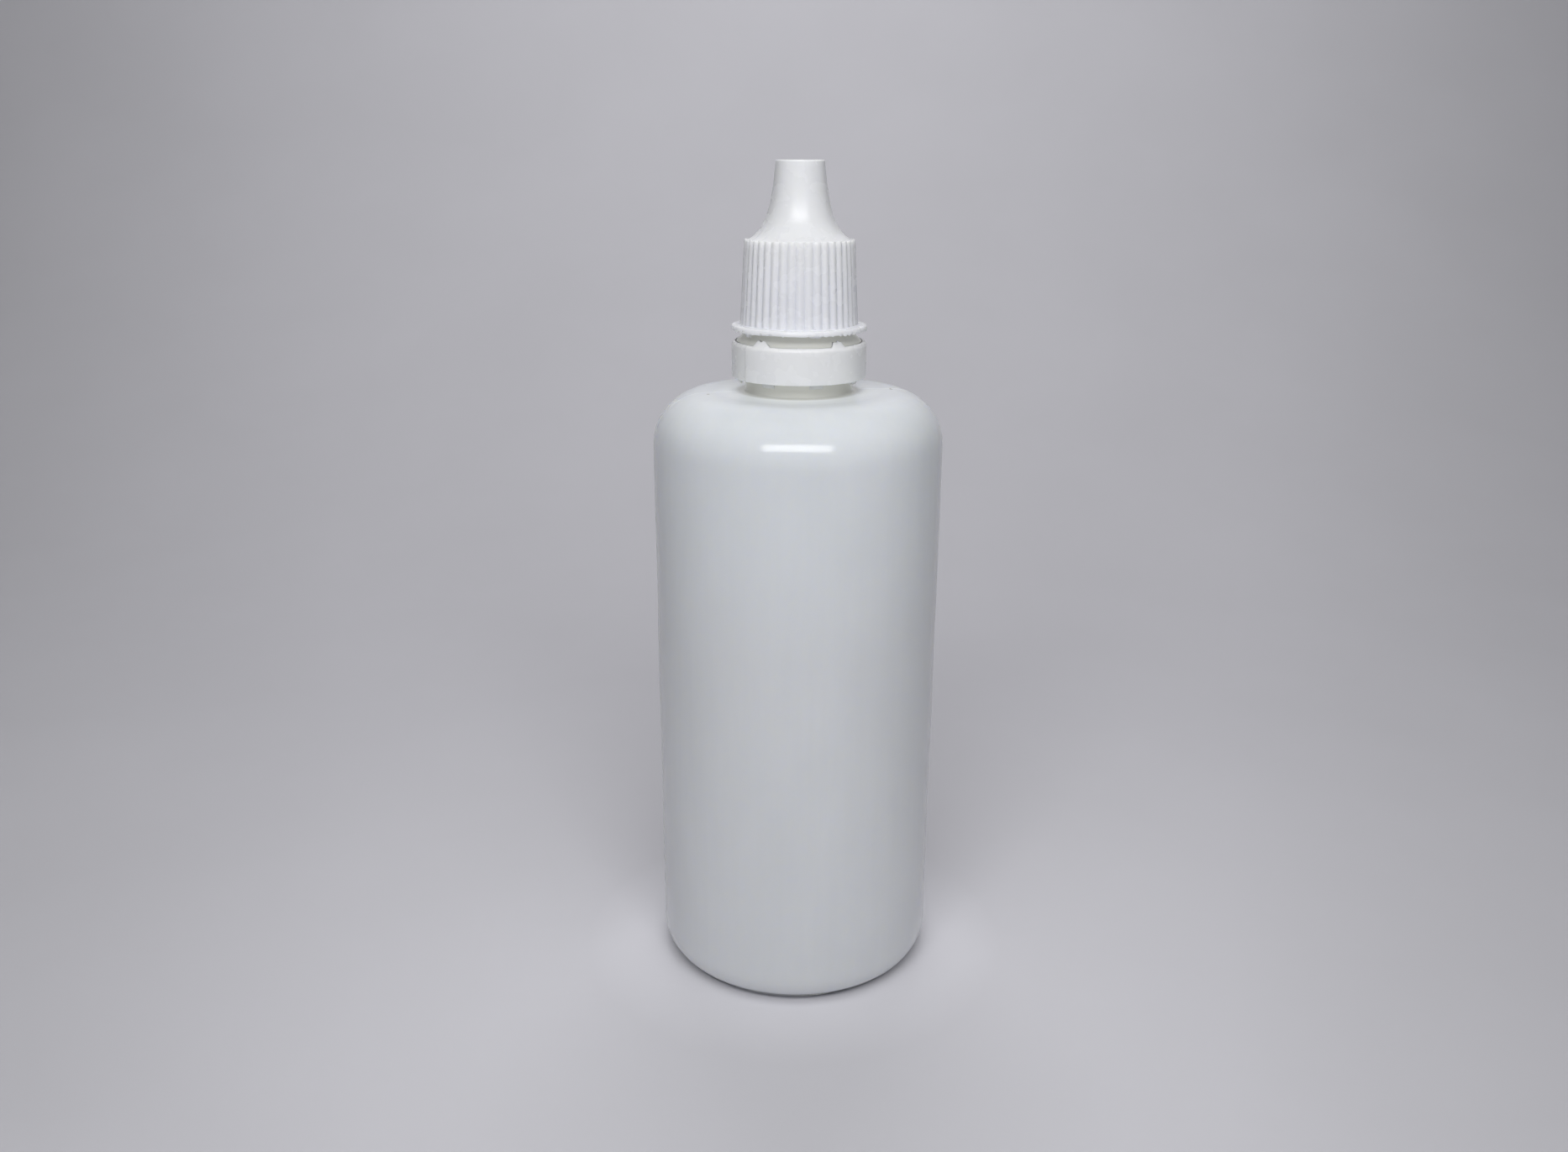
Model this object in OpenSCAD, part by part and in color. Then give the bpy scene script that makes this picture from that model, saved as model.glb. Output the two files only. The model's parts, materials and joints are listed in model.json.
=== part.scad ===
// Squeeze dropper bottle, 100 ml: a blow-moulded bottle with a threaded neck,
// a dropper plug pressed into the neck, a ribbed screw cap whose hollow spout
// covers the nozzle, and the tamper ring that has broken away from the cap.
// Millimetres, +Z up. The origin is the centre of the foot, on the resting plane.

/* [Body] */
// Outside diameter of the body
body_d = 42.5; // [41:0.5:45]
// Height of the shoulder's flat top above the foot
shoulder_h = 90.6; // [88:0.2:94]
// Radius of the rounded shoulder
shoulder_r = 7.5; // [6:0.5:9]
// Radius of the rounded foot
foot_r = 5; // [4:0.5:6]
// Degrees that the foot's rounding turns through before the bevel under it
foot_turn = 40; // [35:1:50]
// Thickness of the blown wall
wall = 0.85; // [0.7:0.05:1]
// Rise of the domed underside at its centre
push_up = 1.6; // [1:0.2:2.4]
// Diameter at which the domed underside meets the foot
push_up_d = 29; // [26:0.5:30]

/* [Neck] */
// Height of the neck's rim above the shoulder
neck_h = 19.2; // [19.2:0.1:20]
// Diameter of the neck between the shoulder and the retaining bead
collar_d = 15.46; // [15.4:0.02:15.5]
// Diameter of the bead that keeps the tamper ring on the neck
bead_d = 17.9; // [17.8:0.05:17.95]
// Diameter of the neck at the root of its thread
finish_d = 11.9; // [11.8:0.05:12]
// Diameter of the hole that the dropper plug is pressed into
bore_d = 9.2; // [9:0.1:9.4]
// Rise of both threads in one turn
pitch = 3; // [2.8:0.1:3.2]
// Turns of each thread
turns = 2; // [1.5:0.25:2]

/* [Dropper plug] */
// Height of the nozzle above the plug's flange
nozzle_h = 9.5; // [9:0.1:9.6]
// Diameter of the nozzle's tip
tip_d = 3.4; // [3.2:0.1:3.6]
// Diameter of the hole that sets the size of a drop
orifice_d = 1; // [0.9:0.05:1.1]
// Interference of the plug's sealing beads in the neck, on the radius
press = 0.05; // [0.03:0.01:0.08]

/* [Cap] */
// Height of the closed bottle
overall_h = 122.7; // [122.7:0.1:123.4]
// Diameter over the ribs at the foot of the skirt
skirt_d = 16.94; // [16.9:0.02:17.2]
// Diameter over the ribs at the top of the skirt
skirt_top_d = 15.7; // [15.6:0.02:15.8]
// Height of the ribbed skirt
skirt_h = 11.6; // [11.4:0.1:11.8]
// Diameter of the thin flange round the skirt's foot
flange_d = 19.6; // [19:0.1:20]
// Number of grip ribs
ribs = 40; // [36:1:44]
// Depth of the grooves between the ribs
groove = 0.35; // [0.3:0.01:0.4]
// Diameter of the spout's flat top
spout_top_d = 6.9; // [6.8:0.1:7.1]

/* [Tamper ring] */
// Outside diameter of the ring
ring_d = 19.5; // [19.4:0.05:19.7]
// Height of the ring
ring_h = 5.1; // [5:0.05:5.2]
// Gap between the shoulder and the ring
ring_rise = 2.2; // [2.15:0.05:2.25]
// Gap between the ring and the cap's flange
seal_gap = 1.55; // [1.5:0.05:1.6]
// Number of broken bridges left on the ring and on the cap
bridges = 5; // [4:1:6]
// Number of catch lugs inside the ring
lugs = 8; // [6:1:10]

/* [Hidden] */
$fn = 96;
overlap = 0.2;          // how far joined solids run into each other
gap = 0.1;              // clearance between parts that touch when closed

// Radii
body_r = body_d / 2;
collar_r = collar_d / 2;
bead_r = bead_d / 2;
finish_r = finish_d / 2;
bore_r = bore_d / 2;
flange_r = flange_d / 2;
ring_r = ring_d / 2;
neck_wall = 1;
neck_inner_r = collar_r - neck_wall;
neck_fillet = 0.8;
rim_edge = 0.35;

// Heights above the foot
rim_z = shoulder_h + neck_h;
ring_z = shoulder_h + ring_rise;
ring_top_z = ring_z + ring_h;
flange_z = ring_top_z + seal_gap;
skirt_z = flange_z + 0.85;
skirt_top_z = skirt_z + skirt_h;

// The retaining bead: a square underside and a 45 degree upper flank
bead_z = ring_top_z - 0.8;
bead_edge = 0.5;
bead_top_z = bead_z + bead_edge + bead_r - finish_r;

// Threads: the neck's ridge and, lying against its underside, the cap's ridge
thread_depth = 0.7;
root_half = 0.65;       // half the ridge's width at its root
crest_half = 0.3;       // half the ridge's width at its crest
ridge_steps = 36;       // straight steps in one turn
fade_steps = 5;         // steps over which a ridge grows at each end
thread_z = rim_z - 2.1 - pitch * turns;
crest_r = finish_r + thread_depth;
cap_wall_r = crest_r + 2 * gap;
cap_crest_r = finish_r + 1.5 * gap;
cap_thread_z = thread_z - root_half - crest_half - gap;

// Dropper plug
plug_flange_t = 1;
plug_flange_r = finish_r - 0.2;
plug_skirt_l = 7.4;
plug_skirt_r = bore_r - gap;
plug_wall = 1;
seal_bead = 0.4;        // radius of the round section of a sealing bead
tip_z = rim_z + plug_flange_t + nozzle_h;
tip_cup = 0.7;          // depth of the flare that holds the drop
orifice_l = 1.3;

// Cap
ceiling_z = rim_z + plug_flange_t + gap;
spout_wall = 0.85;
spout_top_z = overall_h - 1.1;
spout_bore_r = 4.6;
skirt_r = skirt_d / 2;
skirt_top_r = skirt_top_d / 2;
draft = atan((skirt_r - skirt_top_r) / skirt_h);
rib_r = 0.45;           // radius of a rib's round back
spout_bands = 16;
spout_edge = 0.3;
pin_r = orifice_d / 2 - 0.08;
pin_l = 2.6;

// Tamper ring
ring_wall = 0.65;
ring_inner_r = ring_r - ring_wall;
ring_edge = 0.6;        // radius of the ring's rounded upper edge
lug_reach_r = collar_r + 0.07;
bridge_w = 1.8;
bridge_t = 0.5;
seal_turn = 21;         // the cap's turn since the bridges broke, in degrees

// Points along a cubic Bezier curve.
function bezier(a, b, c, d, n) = [
    for (i = [0:n])
        let (t = i / n, s = 1 - t)
        s * s * s * a + 3 * s * s * t * b + 3 * s * t * t * c + t * t * t * d
];

// A rounded rectangle standing on the axis: half of the body's long section.
module body_section(r, z0, z1, foot, shoulder) {
    translate([0, z0]) square([r - foot, foot]);
    translate([r - foot, z0 + foot]) circle(foot);
    translate([0, z0 + foot]) square([r, z1 - shoulder - z0 - foot]);
    translate([r - shoulder, z1 - shoulder]) circle(shoulder);
    translate([0, z1 - shoulder]) square([r - shoulder, shoulder]);
}

// What the bevel takes off the foot: a straight cut from the end of its rounding to the
// flat ring that the bottle rests on.
module foot_bevel_section() {
    rest_r = body_r - foot_r;
    bevel_r = rest_r + foot_r * cos(foot_turn);
    bevel_z = foot_r * (1 - sin(foot_turn));
    polygon([[rest_r, 0], [bevel_r, bevel_z], [body_r, bevel_z],
             [body_r, -overlap], [rest_r, -overlap]]);
}

// The circle whose cap, push_up high and push_up_d wide, domes the underside.
module dome_section(extra) {
    dome_r = (pow(push_up_d / 2, 2) + pow(push_up, 2)) / (2 * push_up);
    translate([0, push_up - dome_r]) circle(dome_r + extra, $fn = 720);
}

// The outside of the neck, from inside the shoulder to the rim.
module neck_section() {
    polygon([
        [0, shoulder_h - wall],
        [collar_r, shoulder_h - wall],
        [collar_r, bead_z],
        [bead_r, bead_z],
        [bead_r, bead_z + bead_edge],
        [finish_r, bead_top_z],
        [finish_r, rim_z - rim_edge],
        [finish_r - rim_edge, rim_z],
        [0, rim_z]
    ]);
    difference() {
        translate([collar_r - overlap, shoulder_h - overlap])
            square(neck_fillet + overlap);
        translate([collar_r + neck_fillet, shoulder_h + neck_fillet])
            circle(neck_fillet);
    }
}

// The hollow of the neck: wide below the bead, and the plug's bore above it.
module neck_hollow_section() {
    polygon([
        [0, shoulder_h - shoulder_r],
        [neck_inner_r, shoulder_h - shoulder_r],
        [neck_inner_r, bead_z],
        [bore_r, bead_top_z],
        [bore_r, rim_z - rim_edge / 2],
        [bore_r + rim_edge / 2, rim_z],
        [bore_r + rim_edge / 2, rim_z + 1],
        [0, rim_z + 1]
    ]);
}

// A trapezoid ridge on a helix that fades in and out at its ends. It stands
// outwards when crest is greater than root, and inwards when it is smaller.
module helical_ridge(root, crest, z0) {
    steps = ridge_steps * turns;
    section = [[0, -root_half], [1, -crest_half], [1, crest_half], [0, root_half]];
    function growth(i) = min(1, (i + 1) / fade_steps, (steps - i + 1) / fade_steps);
    points = [
        for (i = [0:steps], p = section)
            let (a = 360 * i / ridge_steps, r = root + (crest - root) * p[0] * growth(i))
            [r * cos(a), r * sin(a), z0 + pitch * i / ridge_steps + p[1] * growth(i)]
    ];
    sides = [
        for (i = [0:steps - 1], k = [0:3])
            let (m = (k + 1) % 4)
            each [
                [4 * i + k, 4 * i + m, 4 * i + 4 + m],
                [4 * i + k, 4 * i + 4 + m, 4 * i + 4 + k]
            ]
    ];
    ends = [[3, 2, 1, 0], [for (k = [0:3]) 4 * steps + k]];
    faces = concat(sides, ends);
    outwards = crest > root;
    polyhedron(points, [for (f = faces) outwards ? f : [for (k = [len(f) - 1:-1:0]) f[k]]]);
}

// What is left of a bridge: a slip of plastic leaning in towards the neck.
module bridge_stub(r, z, lean) {
    translate([r, 0, z])
        rotate([0, lean, 0])
        cube([bridge_t, bridge_w, 2 * bridge_t + 0.4], center = true);
}

// Pressed into the neck: a hollow skirt with two sealing beads, a flange that
// lies on the rim, and the nozzle with its drop-forming orifice.
module dropper_plug() {
    flange_top = rim_z + plug_flange_t;
    skirt_bottom = rim_z - plug_skirt_l;
    bore_top_z = tip_z - tip_cup - orifice_l;
    color("ghostwhite")
    rotate_extrude()
    difference() {
        union() {
            polygon([
                [0, skirt_bottom],
                [plug_skirt_r - rim_edge, skirt_bottom],
                [plug_skirt_r, skirt_bottom + 2 * rim_edge],
                [plug_skirt_r, rim_z],
                [plug_flange_r, rim_z],
                [plug_flange_r, flange_top],
                [plug_skirt_r - 0.6, flange_top],
                [tip_d / 2, tip_z - rim_edge],
                [tip_d / 2 - rim_edge, tip_z],
                [0, tip_z]
            ]);
            for (drop = [2.2, 5])
                translate([bore_r + press - seal_bead, rim_z - drop]) circle(seal_bead);
        }
        polygon([
            [0, skirt_bottom - 1],
            [plug_skirt_r - plug_wall, skirt_bottom - 1],
            [plug_skirt_r - plug_wall, rim_z],
            [orifice_d, bore_top_z],
            [orifice_d / 2, bore_top_z],
            [orifice_d / 2, tip_z - tip_cup],
            [orifice_d, tip_z],
            [orifice_d, tip_z + 1],
            [0, tip_z + 1]
        ]);
    }
}

// Blow-moulded in one piece: body, shoulder, neck, retaining bead and thread.
module bottle() {
    color("aliceblue") {
        rotate_extrude($fn = 180)
        intersection() {
            translate([0, -1]) square([body_d, overall_h]);
            difference() {
                union() {
                    difference() {
                        body_section(body_r, 0, shoulder_h, foot_r, shoulder_r);
                        foot_bevel_section();
                        dome_section(0);
                    }
                    neck_section();
                }
                difference() {
                    body_section(body_r - wall, wall, shoulder_h - wall,
                                 foot_r, shoulder_r - wall);
                    dome_section(wall);
                }
                neck_hollow_section();
            }
        }
        helical_ridge(finish_r - overlap, crest_r, thread_z);
    }
}

// The cap without its ribs and thread: flange, skirt, shoulder and spout.
module cap_section() {
    groove_r = skirt_r - groove;
    groove_top_r = skirt_top_r - groove;
    spout = bezier([groove_top_r, skirt_top_z], [4.46, skirt_top_z + 1.3],
                   [3.92, overall_h - 5], [spout_top_d / 2, overall_h - spout_edge],
                   spout_bands);
    difference() {
        union() {
            polygon(concat(
                [[0, flange_z], [flange_r - 0.4, flange_z], [groove_r, skirt_z]],
                spout,
                [[spout_top_d / 2 - spout_edge, overall_h], [0, overall_h]]
            ));
            translate([flange_r - 0.4, flange_z + 0.4]) circle(0.4);
            translate([groove_r - overlap, flange_z])
                square([flange_r - 0.4 - groove_r + overlap, 0.8]);
        }
        polygon([
            [0, flange_z - 1],
            [cap_wall_r + 0.75, flange_z - 1],
            [cap_wall_r + 0.75, flange_z],
            [cap_wall_r, skirt_z],
            [cap_wall_r, ceiling_z],
            [spout_bore_r, ceiling_z],
            [spout_top_d / 2 - spout_wall, spout_top_z],
            [0, spout_top_z]
        ]);
    }
}

// The screw cap, with the pin that closes the orifice and the bridges' stubs.
module cap() {
    color("white") {
        rotate_extrude() cap_section();
        for (i = [0:ribs - 1])
            rotate(360 * i / ribs)
            translate([skirt_r - rib_r, 0, skirt_z - overlap])
            rotate([0, -draft, 0])
            cylinder(h = skirt_h + 2 * overlap, r = rib_r, $fn = 24);
        helical_ridge(cap_wall_r + overlap, cap_crest_r, cap_thread_z);
        translate([0, 0, spout_top_z - pin_l]) cylinder(h = pin_l + overlap, r = pin_r);
        for (i = [0:bridges - 1])
            rotate(360 * i / bridges - 90 - 36 - seal_turn)
            bridge_stub(ring_inner_r - 0.5, flange_z, 0);
    }
}

// A flap inside the ring that leans up and in, under the neck's bead.
module catch_lug() {
    lug_w = 2;
    rotate([90, 0, 0])
        linear_extrude(lug_w, center = true)
        polygon([
            [ring_inner_r + 0.3, ring_z - 0.3],
            [ring_inner_r - 0.3, ring_z - 0.5],
            [lug_reach_r, ring_z + 2.8],
            [lug_reach_r, bead_z - 0.4],
            [lug_reach_r + 0.5, bead_z - 0.4],
            [ring_inner_r + 0.3, ring_z + 0.9]
        ]);
}

// The tamper ring, left round the neck with its halves of the bridges.
module tamper_ring() {
    color("white") {
        rotate_extrude() {
            translate([ring_inner_r, ring_z]) square([ring_wall, ring_h - ring_edge]);
            intersection() {
                translate([ring_inner_r, ring_z]) square([ring_wall, ring_h]);
                translate([ring_r - ring_edge, ring_top_z - ring_edge]) circle(ring_edge);
            }
        }
        for (i = [0:lugs - 1])
            rotate(360 * i / lugs - 90 + 16)
            catch_lug();
        for (i = [0:bridges - 1])
            rotate(360 * i / bridges - 90 - 36)
            bridge_stub(ring_inner_r + 0.05, ring_top_z, -30);
    }
}

bottle();
dropper_plug();
cap();
tamper_ring();
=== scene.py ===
"""Looks of a squeeze dropper bottle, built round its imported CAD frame.

The four moulded pieces are rebuilt as fine lathe meshes with the marks that moulding
and use leave on them: mould seams, flash, a weld line, broken bridges and specks.
Lengths are millimetres until a mesh, material, lamp or camera is made, and then metres.
"""

import json
import math

import bmesh
import bpy
import numpy as np
from mathutils import Matrix, Vector, noise


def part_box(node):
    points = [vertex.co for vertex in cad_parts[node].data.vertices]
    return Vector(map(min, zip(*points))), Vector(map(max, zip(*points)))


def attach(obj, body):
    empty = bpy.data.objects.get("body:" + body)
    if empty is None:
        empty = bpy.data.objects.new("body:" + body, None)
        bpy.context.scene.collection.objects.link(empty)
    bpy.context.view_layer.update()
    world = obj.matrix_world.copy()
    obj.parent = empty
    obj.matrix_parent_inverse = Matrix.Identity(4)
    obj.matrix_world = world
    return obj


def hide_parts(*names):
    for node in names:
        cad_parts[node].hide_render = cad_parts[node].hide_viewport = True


MM = 0.001
FRONT = math.radians(-90)
TINY = 1e-6

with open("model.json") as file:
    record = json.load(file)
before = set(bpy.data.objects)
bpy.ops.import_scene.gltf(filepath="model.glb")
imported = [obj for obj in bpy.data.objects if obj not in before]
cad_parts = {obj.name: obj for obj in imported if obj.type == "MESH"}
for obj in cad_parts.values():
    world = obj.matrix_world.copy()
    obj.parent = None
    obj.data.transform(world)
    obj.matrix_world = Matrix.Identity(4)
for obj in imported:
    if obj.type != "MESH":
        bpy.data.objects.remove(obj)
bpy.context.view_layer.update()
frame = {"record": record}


def box_mm(node):
    """Lowest and highest corner of a CAD node, in millimetres."""
    low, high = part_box(node)
    return low / MM, high / MM


bottle_high = box_mm("bottle")[1]
plug_low, plug_high = box_mm("dropper_plug")
cap_high = box_mm("cap")[1]

# Outlines: degrees in a step of an arc, and how far out its guard points are, in radii
ARC_STEP = 9
GUARD = 0.2

# Bottle. R is a radius, H a height, L a length and Z a height above the table.
BODY_R = bottle_high.x
RIM_Z = bottle_high.z
SHOULDER_Z = RIM_Z - 19.2
SHOULDER_R = 7.5
SHOULDER_FALL = 0.25
FOOT_R = 5.0
FOOT_TURN = math.radians(40)
WALL = 0.85
PUSH_UP = 1.6
PUSH_UP_R = 14.5
COLLAR_R = 7.73
BEAD_R = 9.07
BEAD_H = 0.76
FINISH_R = 5.95
BORE_R = 4.6
NECK_WALL = 1.0
UNEVENNESS = 0.07
# The mould's parting line, and bits of flash on it: height, soft edge and how far they stand out
SEAM_TURN = -171
SEAM = math.radians(SEAM_TURN)
SEAM_HALF = 0.05
SEAM_EDGE = 0.4
FLASH = [(88.9, 0.4, 0.4), (86.6, 0.5, 0.3)]
# The pinched weld across the base: half its length, its width and how far it hangs down
WELD_HALF = 11.5
WELD_WIDTH = 0.45
WELD_DROP = 0.35
# Dark inclusions on the shoulder: degrees from the front, distance from the axis, radius
SPECKS = [(-74, 13.5, 0.30), (96, 13.7, 0.36), (98.5, 13.7, 0.2), (24, 12.1, 0.12),
          (160, 14.0, 0.26), (-140, 12.6, 0.22)]

# Tamper ring
RING_R = 9.75
RING_INNER_R = RING_R - 0.65
RING_H = 5.1
RING_Z = SHOULDER_Z + 2.2
RING_TOP = RING_Z + RING_H
BEAD_Z = RING_TOP - 0.8
BEAD_TOP = BEAD_Z + BEAD_H
FINISH_Z = BEAD_TOP + BEAD_R - FINISH_R
RING_WELD = FRONT + math.radians(-51)
# Broken bridges left on the ring: degrees from the front, width, height, fall of one end
BRIDGE_LUMPS = [(-35, 2.4, 0.8, 0.75), (36, 1.8, 0.7, 0.1), (107, 2.0, 0.12, 0.4),
                (180, 1.7, 0.75, 0.2), (-107, 2.1, 0.1, 0.5)]
LUGS = 8
LUG_TURN = math.radians(16)
LUG_HALF_WIDTH = 0.95
# Steps out and up that a catch lug takes from the foot of the ring's inner wall
LUG_PATH = [(-0.35, -0.75), (-0.35, 0.9), (-0.38, 1.3), (-0.15, 1.2)]

# Threads
PITCH = 3.0
TURNS = 2
RISE = PITCH * TURNS
THREAD_DEPTH = 0.7
CAP_THREAD_DEPTH = 0.75
ROOT_HALF = 0.65
CREST_HALF = 0.18
FADE_TURNS = 5 / 36
THREAD_Z = RIM_Z - 2.1 - RISE
CAP_THREAD_Z = THREAD_Z - 1.05

# Dropper plug
PLUG_FLANGE_R = plug_high.x
PLUG_FLANGE_H = 1.0
PLUG_SKIRT_R = BORE_R - 0.1
PLUG_INNER_R = PLUG_SKIRT_R - 1
PLUG_SKIRT_Z = plug_low.z
SEAL_BEADS_Z = [RIM_Z - 5, RIM_Z - 2.2]
SEAL_BEAD_R = BORE_R + 0.05
SEAL_BEAD_HALF = 0.35
TIP_Z = plug_high.z
TIP_R = 1.7
ORIFICE_R = 0.5
ORIFICE_L = 2.0

# Cap
CAP_TOP = cap_high.z
FLANGE_R = cap_high.x
FLANGE_Z = RING_TOP + 1.55
SKIRT_Z = FLANGE_Z + 0.85
SKIRT_TOP = SKIRT_Z + 11.6
SKIRT_R = 8.47
SKIRT_TOP_R = 7.85
MOUTH_R = 7.75
FLANGE_FLAT_R = 8.95
CAP_WALL_R = FINISH_R + THREAD_DEPTH + 0.2
CEILING_Z = RIM_Z + PLUG_FLANGE_H + 0.1
SPOUT_TOP_R = 3.45
SPOUT_BORE_R = 4.6
SPOUT_BORE_TOP_R = 2.6
SPOUT_BORE_Z = CAP_TOP - 1.1
# Control points of the spout's outside curve, from its top down
SPOUT_CURVE = [(3.92, CAP_TOP - 5), (4.46, SKIRT_TOP + 1.3)]
# Parts of the way down the skirt where its outline has points, closest near the top
SKIRT_STEPS = (0, 0.005, 0.013, 0.025, 0.05, 0.1, 0.2, 0.35, 0.5, 0.65, 0.8, 0.92, 0.98)
PIN_R = 0.42
PIN_L = 2.6
# Grip ribs: the depth between them, how they end above, and how they run out below
RIBS = 40
GROOVE = 0.36
TOOTH = 0.17
RIB_RUN_OUT = 0.9
# The bridges' other ends left under the cap: degrees from the front, width, drop
BRIDGE_STUBS = [(-57, 0.8, 0.6), (15, 1.5, 0.25), (87, 1.2, 0.35), (159, 1.0, 0.55),
                (-129, 1.4, 0.4)]
# The height of a bit of flash on the spout, and the scuff on it as centres and radii
BURR_Z = 114.2
SCUFF = [((1.0, -5.3, 113.3), 0.22), ((1.25, -5.15, 113.5), 0.18)]


# Outlines

def straight(a, b, spacing):
    """Points from a up to but not including b, no further apart than spacing."""
    a, b = np.array(a, float), np.array(b, float)
    steps = max(1, math.ceil(np.linalg.norm(b - a) / spacing))
    return [a + (b - a) * i / steps for i in range(steps)]


def corner_arc(before, here, after, radius):
    """The arc that rounds the corner at here, between the points before and after it.

    A guard point just outside each end keeps the arc's curvature out of the flat beside it."""
    before = (before - here) / np.linalg.norm(before - here)
    after = (after - here) / np.linalg.norm(after - here)
    half = math.acos(max(-1.0, min(1.0, float(before @ after)))) / 2
    reach = radius / math.tan(half)
    inward = (before + after) / np.linalg.norm(before + after)
    centre = here + inward * radius / math.sin(half)
    x, y = here + before * reach - centre
    turn = math.copysign(1, before[1] * after[0] - before[0] * after[1])
    sweep = math.pi - 2 * half
    steps = max(3, math.ceil(math.degrees(sweep) / ARC_STEP))
    points = [here + before * (reach + GUARD * radius)]
    for k in range(steps + 1):
        a = turn * sweep * k / steps
        c, s = math.cos(a), math.sin(a)
        points.append(centre + np.array([c * x - s * y, s * x + c * y]))
    points.append(here + after * (reach + GUARD * radius))
    return points


def rounded(corners, closed=False, spacing=2.0):
    """An outline through corners (r, z, radius), each rounded to its radius.

    Nothing checks that an arc and its guard points fit between the corners beside it. Where
    they don't, as at the foot's bevel and the cap's mouth, the outline doubles back."""
    count = len(corners)
    places = [np.array(corner[:2], float) for corner in corners]
    runs = []
    for i, (here, corner) in enumerate(zip(places, corners)):
        at_end = not closed and i in (0, count - 1)
        if corner[2] == 0 or at_end:
            runs.append([here])
        else:
            runs.append(corner_arc(places[i - 1], here, places[(i + 1) % count], corner[2]))
    outline = []
    for i, run in enumerate(runs):
        outline += run[:-1]
        if i + 1 < count or closed:
            outline += straight(run[-1], runs[(i + 1) % count][0], spacing)
        else:
            outline.append(run[-1])
    return np.array(outline)


def bezier(a, b, c, d, count):
    """Points along a cubic Bezier curve."""
    t = np.linspace(0, 1, count + 1)[:, None]
    s = 1 - t
    a, b, c, d = (np.array(p, float) for p in (a, b, c, d))
    return s ** 3 * a + 3 * s * s * t * b + 3 * s * t * t * c + t ** 3 * d


def columns(count, close=()):
    """Angles round the axis, with extra ones either side of each close angle, in degrees."""
    width, extra = 1.2, 6
    angles = set(np.round(np.arange(count) * 360 / count, 6))
    for centre in close:
        for i in range(-extra, extra + 1):
            angles.add(round((centre + width * i / extra) % 360, 6))
    return np.radians(sorted(angles))


# Shape functions: they take arrays of radius, height and angle

def smooth(x, low, high):
    """0 below low, 1 above high and a smooth step between; low may be the greater."""
    t = np.clip((x - low) / (high - low), 0, 1)
    return t * t * (3 - 2 * t)


def angle_from(angle, centre):
    """Signed angle from centre, within half a turn."""
    return (angle - centre + math.pi) % (2 * math.pi) - math.pi


def window(x, half, edge):
    """1 where |x| is well inside half, falling to 0 across edge."""
    return smooth(np.abs(x), half + edge / 2, half - edge / 2)


def helical_ridge(z, angle, start_z):
    """Height, 0 to 1, of a thread ridge that rises one pitch a turn from start_z."""
    height = np.zeros_like(z)
    for turn in range(TURNS):
        run = (angle % (2 * math.pi)) / (2 * math.pi) + turn
        growth = np.clip(np.minimum(run, TURNS - run) / FADE_TURNS, 0, 1)
        away = np.abs(z - start_z - PITCH * run)
        ridge = growth * smooth(away, ROOT_HALF, CREST_HALF)
        height = np.maximum(height, ridge)
    return height


def waves(x, y, scale, seed):
    """Smooth noise, about -1 to 1, over x and y, with features about scale in size."""
    gain = 1.6
    flat = zip(np.ravel(x) / scale, np.ravel(y) / scale)
    values = [noise.noise(Vector((u, v, seed))) for u, v in flat]
    return np.array(values).reshape(np.shape(x)) * gain


# Meshes

def lathe(name, outline, angles, shape=None):
    """Turns an outline of (radius, height) round the axis into a closed mesh.

    An outline that starts and ends on the axis is closed by two poles; any other is a
    loop. shape(r, z, angle) may move the points of the grid first."""
    poles = abs(outline[0][0]) < TINY
    body = outline[1:-1] if poles else outline
    r = np.repeat(body[:, :1], len(angles), 1)
    z = np.repeat(body[:, 1:], len(angles), 1)
    angle = np.repeat(angles[None, :], len(body), 0)
    if shape:
        r, z = shape(r, z, angle)
    mesh = bmesh.new()
    rows = [
        [mesh.verts.new((x * MM, y * MM, h * MM)) for x, y, h in row]
        for row in np.stack([r * np.cos(angle), r * np.sin(angle), z], -1)
    ]
    around = [(j, (j + 1) % len(angles)) for j in range(len(angles))]
    pairs = list(zip(rows, rows[1:]))
    if not poles:
        pairs.append((rows[-1], rows[0]))
    for low, high in pairs:
        for j, k in around:
            mesh.faces.new((low[j], low[k], high[k], high[j]))
    if poles:
        for row, point in ((rows[0], outline[0]), (rows[-1], outline[-1])):
            pole = mesh.verts.new((0, 0, point[1] * MM))
            for j, k in around:
                mesh.faces.new((row[j], row[k], pole))
    return finish_mesh(name, mesh)


def finish_mesh(name, mesh):
    """Turns a bmesh into a smooth-shaded object whose faces point outwards."""
    bmesh.ops.recalc_face_normals(mesh, faces=mesh.faces)
    if mesh.calc_volume(signed=True) < 0:
        bmesh.ops.reverse_faces(mesh, faces=mesh.faces)
    data = bpy.data.meshes.new(name)
    mesh.to_mesh(data)
    mesh.free()
    data.polygons.foreach_set("use_smooth", [True] * len(data.polygons))
    piece = bpy.data.objects.new(name, data)
    bpy.context.scene.collection.objects.link(piece)
    return piece


# Bottle

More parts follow.
